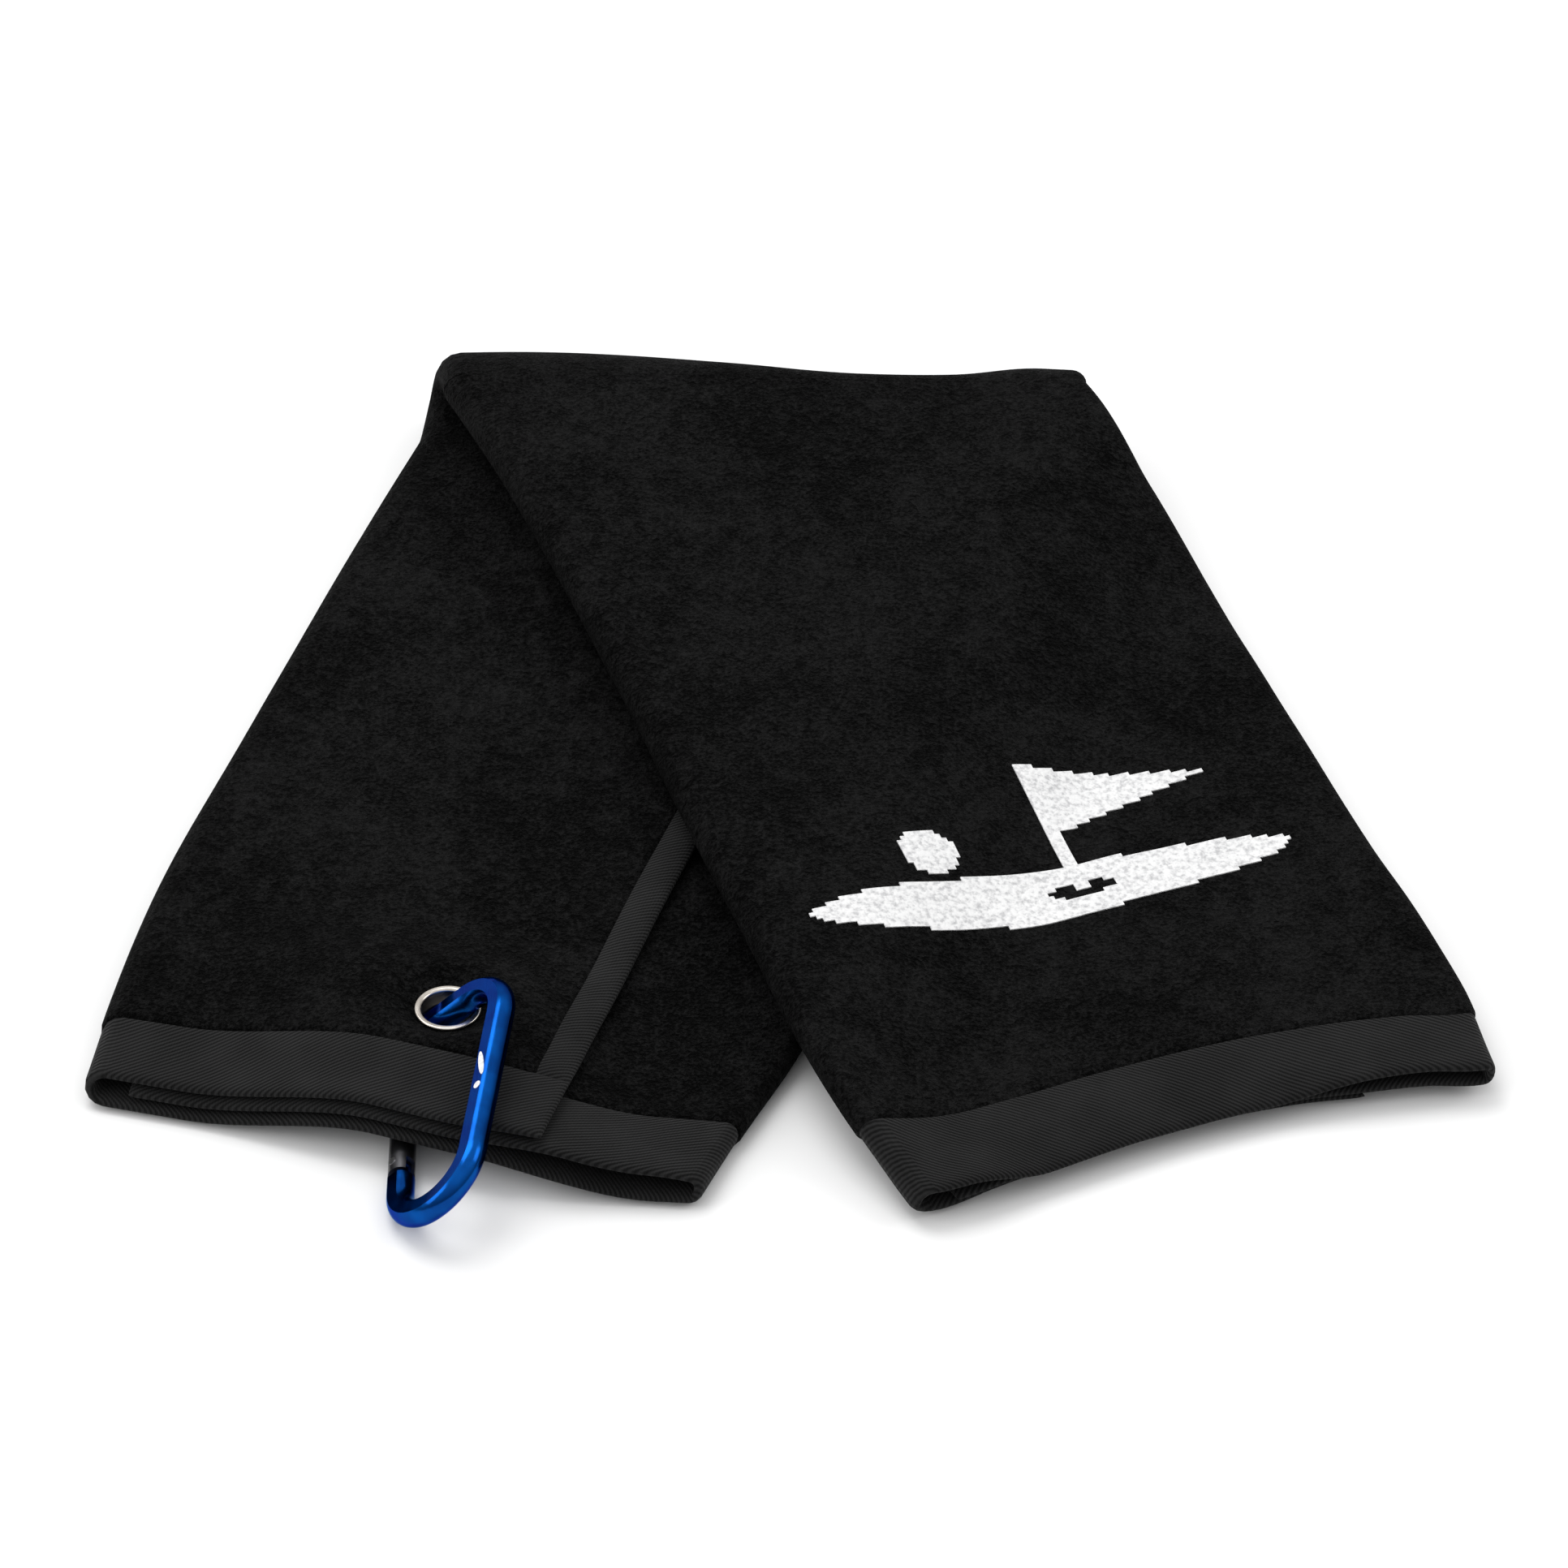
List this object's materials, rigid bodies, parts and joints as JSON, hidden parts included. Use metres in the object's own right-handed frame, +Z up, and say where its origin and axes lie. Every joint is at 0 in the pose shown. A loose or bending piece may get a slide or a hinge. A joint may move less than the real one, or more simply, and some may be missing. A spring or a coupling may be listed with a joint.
{
  "type": "golf towel",
  "caption": "Tri-fold velour golf towel folded across the middle with its halves fanned out, hemmed edges, woven motif, metal eyelet and a spring-gate carabiner.",
  "frame": {"origin": "on the surface the towel lies on, under the middle of its box", "axes": "+X along the cross fold, to the viewer's right; +Y from the hems towards the cross fold; +Z up"},
  "size_m": [0.3298, 0.316, 0.0298],
  "materials": {
    "velour": "black sheared cotton velour",
    "woven_hem": "charcoal diagonal twill",
    "motif": "white jacquard",
    "eyelet_metal": "bright nickel",
    "blue_alloy": "blue anodised, satin",
    "gate_alloy": "dark grey anodised",
    "pin_steel": "plain steel"
  },
  "bodies": {
    "rear_half": {"cloth_rear_half": "velour", "cloth_top_fold": "velour", "end_hem_rear": "woven_hem", "side_hem_outer_rear": "woven_hem", "side_hem_outer_fold": "woven_hem", "side_hem_inner_rear": "woven_hem", "side_hem_inner_fold": "woven_hem", "eyelet": "eyelet_metal", "eyelet_washer": "eyelet_metal"},
    "front_half": {"cloth_front_half": "velour", "end_hem_front": "woven_hem", "side_hem_outer_front": "woven_hem", "side_hem_inner_front": "woven_hem", "woven_motif": "motif"},
    "carabiner": {"carabiner_body": "blue_alloy"},
    "gate": {"gate": "gate_alloy", "gate_hinge_pin": "pin_steel", "gate_latch_pin": "pin_steel", "gate_spring": "pin_steel", "spring_plunger": "pin_steel"}
  },
  "joints": [
    {"name": "half_fold_open", "type": "hinge", "parent": "rear_half", "child": "front_half", "pos_m": [-0.00921, 0.15734, 0.01475], "axis": [-1, 0, 0], "range_deg": [0, 180], "deforming": ["cloth_top_fold", "side_hem_outer_fold", "side_hem_inner_fold"]},
    {"name": "carabiner_swing", "type": "hinge", "parent": "rear_half", "child": "carabiner", "pos_m": [-0.08206, -0.08865, 0.01295], "axis": [0, 0, 1], "range_deg": [-25, 10]},
    {"name": "gate_open", "type": "hinge", "parent": "carabiner", "child": "gate", "pos_m": [-0.09175, -0.13285, 0.0036], "axis": [0.6946, 0, -0.7194], "range_deg": [0, 10], "stiffness_Nm_per_rad": 0.03, "springref_deg": -20.05, "deforming": ["cloth_rear_half", "end_hem_rear"]}
  ]
}
